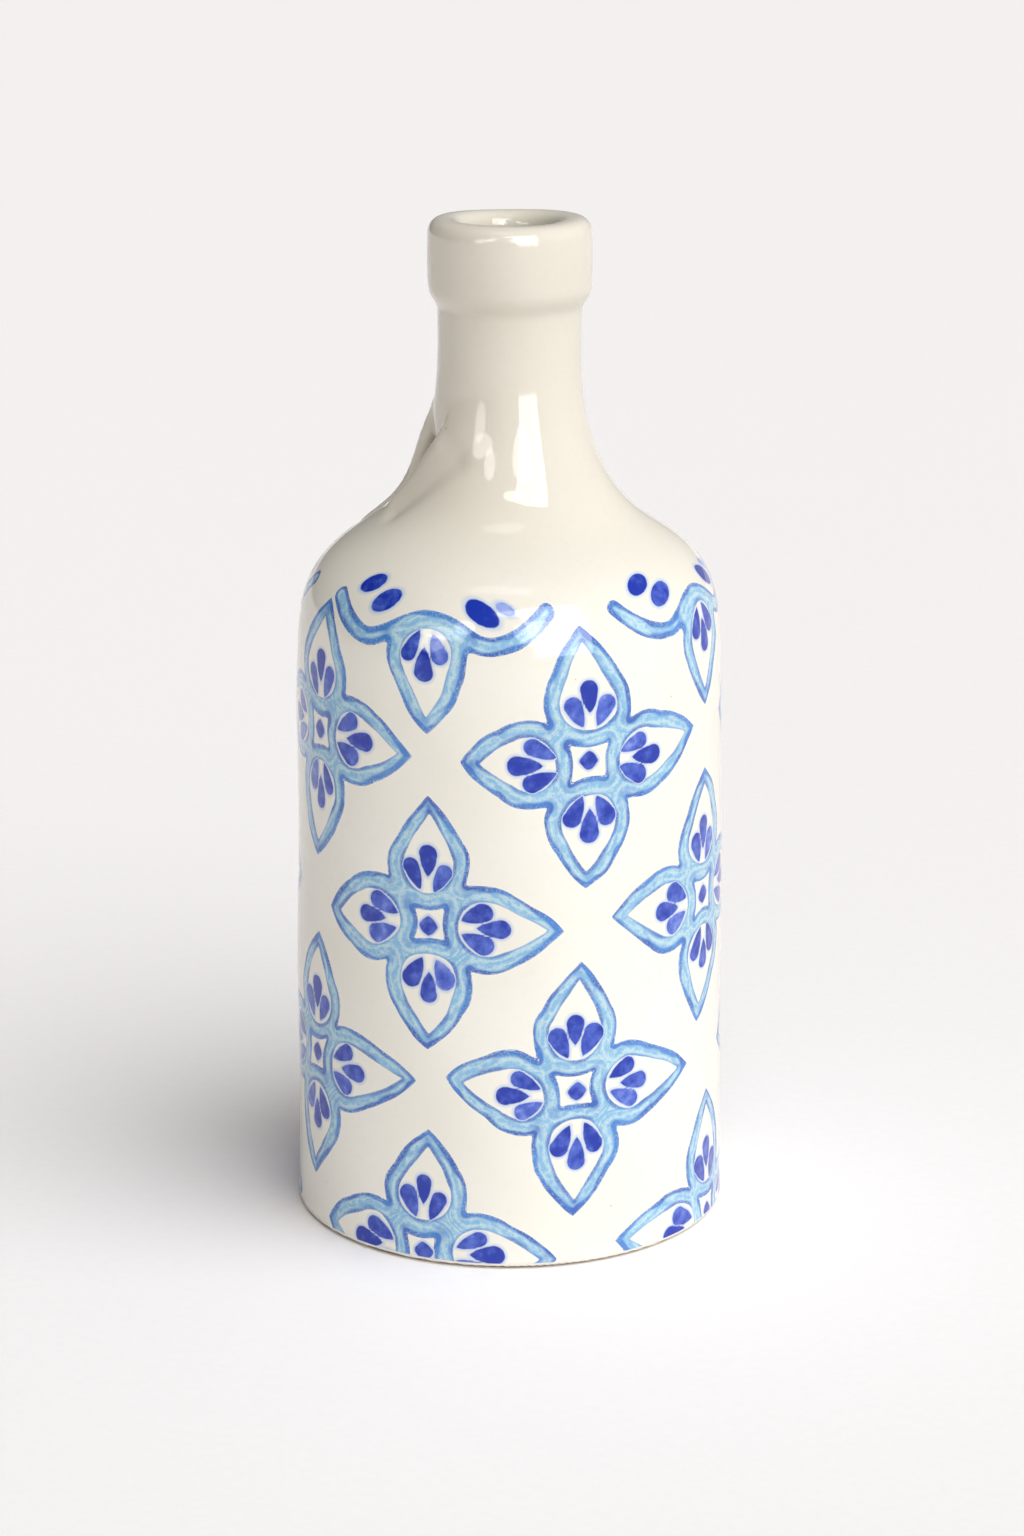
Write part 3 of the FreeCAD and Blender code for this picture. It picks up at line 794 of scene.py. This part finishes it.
def noise(tree, place, size, detail=2.0, stretch=(1.0, 1.0, 1.0)):
    """Smooth noise with features of a size in millimetres, from about 0 to 1."""
    mapping = tree.nodes.new("ShaderNodeMapping")
    feed(tree, mapping.inputs["Vector"], place)
    mapping.inputs["Scale"].default_value = stretch
    node = tree.nodes.new("ShaderNodeTexNoise")
    feed(tree, node.inputs["Vector"], mapping.outputs[0])
    node.inputs["Scale"].default_value = 1.0 / size
    node.inputs["Detail"].default_value = detail
    return node.outputs["Fac"]


def object_place(tree):
    """The place on the object, in millimetres."""
    coordinates = tree.nodes.new("ShaderNodeTexCoord")
    scaled = tree.nodes.new("ShaderNodeVectorMath")
    scaled.operation = "SCALE"
    tree.links.new(coordinates.outputs["Object"], scaled.inputs[0])
    scaled.inputs["Scale"].default_value = 1 / MM
    return scaled.outputs[0]


def field_parts(tree, label):
    """The three numbers of a mesh field."""
    attribute = tree.nodes.new("ShaderNodeAttribute")
    attribute.attribute_name = label
    parts = tree.nodes.new("ShaderNodeSeparateXYZ")
    tree.links.new(attribute.outputs["Vector"], parts.inputs[0])
    return list(parts.outputs)


def colour(red, green, blue):
    """A linear colour from screen values of 0 to 255."""
    return tuple((v / 255 / 12.92 if v < 11 else ((v / 255 + 0.055) / 1.055) ** 2.4)
                 for v in (red, green, blue)) + (1.0,)


# ---------------------------------------------------------------- materials

GLAZE_WHITE = colour(245, 242, 232)
GLAZE_CREAM = colour(238, 233, 219)
NECK_GLAZE_AND_SHADE = (0.82, 0.797, 0.76, 1.0)   # tint of the neck: partly thicker glaze, partly painted shade that darkens the neck
NECK_GLAZE_AND_SHADE_HEIGHTS = (128.0, 168.0)           # that tint sets in between these heights
SPECK_BROWN = colour(172, 150, 118)
WASH_PALE = colour(192, 221, 229)
WASH_BLUE = colour(138, 188, 222)
WASH_GRAIN = colour(112, 168, 214)
LINE_BLUE = colour(60, 122, 204)
LINE_DARK = colour(36, 86, 182)
COBALT_THINNEST = colour(150, 168, 228)
COBALT_THIN = colour(84, 110, 208)
COBALT_DEEP = colour(14, 48, 166)
COBALT_HALO = colour(160, 190, 230)
CLAY_PALE = colour(214, 176, 138)
CLAY_DARK = colour(198, 152, 112)
CLAY_GRIT = colour(170, 124, 88)
FLOOR_PALE = (0.975, 0.952, 0.957, 1.0)
FLOOR_SHADE = (0.96, 0.936, 0.941, 1.0)


def glaze_colour(tree, place):
    """Warm white with slow changes of thickness, faint mottling, a few iron specks, and a darker neck that
    is partly thicker glaze and partly painted shade.
    """
    slow = noise(tree, place, 34.0, 3.0)
    fine = noise(tree, place, 1.6, 3.0)
    base = blend(tree, calc(tree, "MULTIPLY", ramp(tree, slow, 0.35, 0.75), 0.5), GLAZE_WHITE, GLAZE_CREAM)
    base = blend(tree, calc(tree, "MULTIPLY", ramp(tree, fine, 0.45, 0.8), 0.3), base, GLAZE_CREAM)
    up = tree.nodes.new("ShaderNodeSeparateXYZ")
    tree.links.new(place, up.inputs[0])
    # Painted shade: upwards from the shoulder the glaze is darkened, partly as thicker glaze and partly
    # standing in for the shade on the neck.
    tint = blend(tree, ramp(tree, up.outputs["Z"], *NECK_GLAZE_AND_SHADE_HEIGHTS), (1.0, 1.0, 1.0, 1.0), NECK_GLAZE_AND_SHADE)
    base = blend(tree, 1.0, base, tint, "MULTIPLY")
    cells = tree.nodes.new("ShaderNodeTexVoronoi")
    cells.inputs["Scale"].default_value = 1 / 5.2
    feed(tree, cells.inputs["Vector"], place)
    rare = noise(tree, cells.outputs["Position"], 3.0, 0.0)
    size = ramp(tree, rare, 0.6, 0.78, 0.0, 0.055)
    speck = ramp(tree, calc(tree, "SUBTRACT", cells.outputs["Distance"], size), -0.02, 0.02, 1.0, 0.0)
    speck = calc(tree, "MULTIPLY", speck, ramp(tree, rare, 0.6, 0.64))
    return blend(tree, calc(tree, "MULTIPLY", speck, 0.6), base, SPECK_BROWN)


def roughen(tree, shader, height, strength, depth):
    """Bumps from a noise, of a depth in millimetres."""
    bump = tree.nodes.new("ShaderNodeBump")
    bump.inputs["Strength"].default_value = strength
    bump.inputs["Distance"].default_value = depth * MM
    feed(tree, bump.inputs["Height"], height)
    feed(tree, shader.inputs["Normal"], bump.outputs[0])


def glaze_surface(tree, shader, place):
    """A clear glossy glaze that is not quite level."""
    shader.inputs["IOR"].default_value = 1.52
    worn = noise(tree, place, 9.0, 2.0)
    feed(tree, shader.inputs["Roughness"], ramp(tree, worn, 0.3, 0.8, 0.04, 0.10))
    roughen(tree, shader, noise(tree, place, 5.5, 1.5), 0.35, 0.06)


def glaze_material():
    """Bare tin-white glaze."""
    material, tree, shader = new_material("tin_white_glaze")
    place = object_place(tree)
    feed(tree, shader.inputs["Base Color"], glaze_colour(tree, place))
    glaze_surface(tree, shader, place)
    return material


def stroke_noise(tree, across, drift):
    """Streaks that follow a stroke: noise across it that drifts slowly along it."""
    node = tree.nodes.new("ShaderNodeTexNoise")
    node.noise_dimensions = "1D"
    feed(tree, node.inputs["W"], calc(tree, "ADD", calc(tree, "MULTIPLY", across, 1.15),
                                      calc(tree, "MULTIPLY", drift, 5.0)))
    node.inputs["Scale"].default_value = 1.0
    node.inputs["Detail"].default_value = 1.0
    return node.outputs["Fac"]


def edge_line(tree, distance, width, ragged):
    """A soft-sided line along an edge, from the distance to that edge."""
    place = calc(tree, "SUBTRACT", calc(tree, "ADD", distance, ragged), width)
    return ramp(tree, place, -0.4, 0.35, 1.0, 0.0)


def outline_material():
    """Watery light blue with grains and streaks, darker lines where the brush left its edge, and pools."""
    material, tree, shader = new_material("light_blue_outline")
    place = object_place(tree)
    outer, inner, pool = field_parts(tree, "paint_edges")
    near = noise(tree, place, 1.2, 2.0)
    grain = noise(tree, place, 0.36, 3.0)
    slow = noise(tree, place, 8.0, 1.5)
    other = noise(tree, place, 10.0, 1.0, (1.0, -1.0, 1.3))
    streak = stroke_noise(tree, outer, slow)
    flow = calc(tree, "ADD", calc(tree, "MULTIPLY", streak, 0.55), calc(tree, "MULTIPLY", near, 0.45))
    wash = blend(tree, ramp(tree, flow, 0.4, 0.6), WASH_PALE, WASH_BLUE)
    wash = blend(tree, calc(tree, "MULTIPLY", ramp(tree, grain, 0.44, 0.68), 0.4), wash, WASH_GRAIN)
    ragged = calc(tree, "ADD", swing(tree, near, 0.7), swing(tree, grain, 0.6))
    outer_line = edge_line(tree, outer, ramp(tree, slow, 0.36, 0.62, 0.5, 1.25), ragged)
    inner_line = edge_line(tree, inner, ramp(tree, other, 0.36, 0.62, 0.25, 1.0), ragged)
    inner_line = calc(tree, "MULTIPLY", inner_line, 0.85)
    line = calc(tree, "MAXIMUM", outer_line, inner_line)
    line = calc(tree, "MULTIPLY", line, ramp(tree, grain, 0.3, 0.56, 0.6, 1.0))
    line = calc(tree, "MINIMUM", calc(tree, "ADD", line, calc(tree, "MULTIPLY", pool, 0.8)), 1.0)
    dark = blend(tree, ramp(tree, other, 0.4, 0.65), LINE_BLUE, LINE_DARK)
    paint = blend(tree, calc(tree, "MULTIPLY", line, 0.92), wash, dark)
    edge = calc(tree, "MINIMUM", outer, inner)
    edge = calc(tree, "ADD", edge, swing(tree, near, 0.2))
    cover = ramp(tree, edge, -0.1, 0.2)
    feed(tree, shader.inputs["Base Color"], blend(tree, cover, glaze_colour(tree, place), paint))
    glaze_surface(tree, shader, place)
    return material


def cobalt_material():
    """Cobalt dabs: violet where thin, nearly black-blue where the colour pooled, with a soft halo."""
    material, tree, shader = new_material("cobalt_dab")
    place = object_place(tree)
    inside, tone, _ = field_parts(tree, "paint_edges")
    grain = noise(tree, place, 0.5, 2.0)
    blotch = noise(tree, place, 2.4, 1.5)
    depth = calc(tree, "ADD", tone, swing(tree, blotch, 1.6))
    depth = calc(tree, "ADD", depth, swing(tree, grain, 0.4))
    thin = blend(tree, ramp(tree, depth, -0.5, 0.3), COBALT_THINNEST, COBALT_THIN)
    paint = blend(tree, ramp(tree, depth, 0.0, 0.95), thin, COBALT_DEEP)
    near = noise(tree, place, 1.0, 2.0)
    edge = calc(tree, "ADD", inside, swing(tree, near, 0.22))
    halo = blend(tree, calc(tree, "MULTIPLY", ramp(tree, edge, -0.95, 0.1), 0.6),
                 glaze_colour(tree, place), COBALT_HALO)
    feed(tree, shader.inputs["Base Color"], blend(tree, ramp(tree, edge, -0.1, 0.16), halo, paint))
    glaze_surface(tree, shader, place)
    return material


def clay_material():
    """Buff-orange earthenware, gritty and matt."""
    material, tree, shader = new_material("bare_clay")
    place = object_place(tree)
    slow = noise(tree, place, 14.0, 3.0)
    grit = noise(tree, place, 0.7, 3.0)
    base = blend(tree, ramp(tree, slow, 0.3, 0.7), CLAY_PALE, CLAY_DARK)
    base = blend(tree, calc(tree, "MULTIPLY", ramp(tree, grit, 0.5, 0.75), 0.6), base, CLAY_GRIT)
    feed(tree, shader.inputs["Base Color"], base)
    feed(tree, shader.inputs["Roughness"], ramp(tree, grit, 0.3, 0.7, 0.78, 0.95))
    roughen(tree, shader, grit, 0.6, 0.12)
    return material


def paper_material():
    """The pale studio floor."""
    material, tree, shader = new_material("studio_paper")
    place = object_place(tree)
    mottle = noise(tree, place, 2.5, 2.0)
    base = blend(tree, ramp(tree, mottle, 0.3, 0.7), FLOOR_PALE, FLOOR_SHADE)
    feed(tree, shader.inputs["Base Color"], base)
    shader.inputs["Roughness"].default_value = 0.9
    shader.inputs["Specular IOR Level"].default_value = 0.1
    return material


# ---------------------------------------------------------------- studio

CAMERA_TURN = 35.0            # the camera's direction, as a turn about the pot
CAMERA_DISTANCE = 855.6       # camera to the pot's axis, level
CAMERA_HEIGHT = 350.3
CAMERA_PITCH = 16.35
CAMERA_ASIDE = 0.586          # the axis is this far left of the camera's own
CAMERA_LENS = 94.52
ROOM_SIDES = (0.22, 1.34)     # brightness factor on the left and on the right
ROOM_HEIGHTS = (0.62, 0.28)   # brightness at the horizon and overhead
ROOM_TINT = (1.0, 0.955, 0.925, 1.0)
BRIGHT_SIDE = 70              # turn from the camera to the room's brightest side
DAYLIGHT = (42, 54, 2.55, 62.0)   # turn from the camera, elevation, power, spread
DAYLIGHT_TINT = (0.985, 1.0, 1.0)
LOOK_HEIGHT = 170.0           # the lights point at the neck
GLASS_TINT = (1.0, 0.995, 0.98)
# Lit panes mirrored in the glaze: name, shape, turn from the camera, elevation, distance in metres,
# width and length in metres, power.
PANES = [
    ("window", "RECTANGLE", 29, 26.5, 1.0, 0.56, 0.95, 10.5),
    ("window_bulge", "ELLIPSE", 16, 22, 1.0, 0.40, 0.46, 2.2),
    ("window_corner", "ELLIPSE", 5, 45, 1.0, 0.30, 0.14, 0.6),
    ("left_pane_1", "ELLIPSE", -25, 26, 1.2, 0.26, 0.34, 1.0),
    ("left_pane_2", "ELLIPSE", -38, 17, 1.2, 0.62, 0.24, 1.5),
    ("left_pane_3", "ELLIPSE", -43, 8, 1.1, 0.30, 0.26, 0.7),
    ("skylight", "ELLIPSE", -10, 76, 1.6, 0.70, 0.30, 0.8),
]


def around(turn, distance, height):
    """A place in metres, at a turn from the camera's direction, seen from the pot."""
    angle = radians(CAMERA_TURN + turn)
    return Vector((distance * sin(angle), -distance * cos(angle), height))


def make_camera():
    """A camera at the photographed angle."""
    data = bpy.data.cameras.new("camera")
    data.lens = CAMERA_LENS
    data.sensor_width = 36.0
    data.clip_end = 100.0
    camera = link_object("camera", data)
    place = around(0, CAMERA_DISTANCE * MM, CAMERA_HEIGHT * MM)
    aside = around(90, CAMERA_ASIDE * MM, 0)
    camera.location = place + aside
    camera.rotation_euler = (radians(90 - CAMERA_PITCH), 0, radians(CAMERA_TURN))
    bpy.context.scene.camera = camera


def aim(light, turn, elevation, distance):
    """Put a light round the pot and point it at the neck."""
    target = Vector((0, 0, LOOK_HEIGHT * MM))
    rise = radians(elevation)
    light.location = target + around(turn, distance * cos(rise), distance * sin(rise))
    light.rotation_euler = (target - light.location).to_track_quat("-Z", "Y").to_euler()


def soft_sun(turn, elevation, power, spread):
    """The even daylight of a large window: it shades the pot and the floor, but is not mirrored."""
    data = bpy.data.lights.new("daylight", "SUN")
    data.energy = power
    data.angle = radians(spread)
    data.color = DAYLIGHT_TINT
    light = link_object("daylight", data)
    light.visible_glossy = False
    aim(light, turn, elevation, 3.0)


def mirrored_light(name, shape, turn, elevation, distance, width, length, power):
    """A lit pane that is mirrored in the glaze."""
    data = bpy.data.lights.new(name, "AREA")
    data.shape = shape
    data.size = width
    data.size_y = length
    data.energy = power
    data.color = GLASS_TINT
    light = link_object(name, data)
    light.visible_diffuse = False
    aim(light, turn, elevation, distance)


def direction_share(tree, direction, toward):
    """How far a direction points one way, from -1 to 1."""
    compare = tree.nodes.new("ShaderNodeVectorMath")
    compare.operation = "DOT_PRODUCT"
    tree.links.new(direction, compare.inputs[0])
    compare.inputs[1].default_value = toward
    return compare.outputs["Value"]


def make_world():
    """A pale room, darker towards the ceiling and the left."""
    world = bpy.data.worlds.new("pale_room")
    bpy.context.scene.world = world
    world.use_nodes = True
    tree = world.node_tree
    background = tree.nodes["Background"]
    direction = tree.nodes.new("ShaderNodeTexCoord").outputs["Generated"]
    sideways = direction_share(tree, direction, around(BRIGHT_SIDE, 1.0, 0.0))
    sideways = ramp(tree, sideways, -1.0, 1.0, *ROOM_SIDES)
    upwards = direction_share(tree, direction, (0.0, 0.0, 1.0))
    upwards = ramp(tree, upwards, 0.0, 1.0, *ROOM_HEIGHTS)
    feed(tree, background.inputs["Strength"], calc(tree, "MULTIPLY", sideways, upwards))
    background.inputs["Color"].default_value = ROOM_TINT


def make_floor():
    """A wide sheet that the pot stands on."""
    reach = 8.0
    corners = [(-reach, -reach, 0), (reach, -reach, 0), (reach, reach, 0), (-reach, reach, 0)]
    floor = make_piece("studio_floor", np.array(corners) / MM, [[0, 1, 2, 3]])
    floor.data.materials.append(paper_material())


def make_studio():
    """Floor, room, lights and camera."""
    make_floor()
    make_world()
    soft_sun(*DAYLIGHT)
    for pane in PANES:
        mirrored_light(*pane)
    make_camera()
    bpy.context.scene.view_settings.view_transform = "Standard"


# ---------------------------------------------------------------- assembly


def finish_piece(piece, material, slot, nodes):
    """Give a piece its material and its body, and hide the CAD nodes that it stands for; the slot is not
    used.
    """
    piece.data.materials.append(material)
    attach(piece, "root")
    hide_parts(*nodes)


def build_pot():
    """The glazed outside and inside and the bare foot."""
    glaze = glaze_material()
    finish_piece(glaze_coat(), glaze, "white_glaze",
                 ["outer_glaze", "handle_glaze", "shoulder_dome", "neck_tube", "mouth_collar", "loop_handle",
                  "body_wall"])
    finish_piece(inner_coat(), glaze, "white_glaze", ["inner_glaze"])
    finish_piece(bare_foot(), clay_material(), "clay", ["floor_disc"])


def build_paint():
    """The painted motifs, one piece of each colour for each column."""
    outline = outline_material()
    cobalt = cobalt_material()
    for column in range(len(COLUMN_TURNS)):
        rows = range((column + 1) % 2, len(ROW_HEIGHTS), 2)
        flowers = [flower_plan(column, row) for row in rows]
        number = column + 1
        whole = [flower for flower in flowers if flower["whole"]]
        kinds = (("outline_strokes", flowers, outline_paint, outline, "light_blue_paint"),
                 ("petal_drops", flowers, cobalt_paint, cobalt, "cobalt_paint"),
                 ("centre_diamonds", whole, diamond_paint, cobalt, "cobalt_paint"))
        for (node, motifs, paint, material, slot), margin, lift in zip(kinds, PAINT_MARGINS, PAINT_LIFTS):
            piece = painted_piece("%s_%d" % (node, number), motifs, paint, margin, lift)
            finish_piece(piece, material, slot, [node])


build_pot()
build_paint()
make_studio()
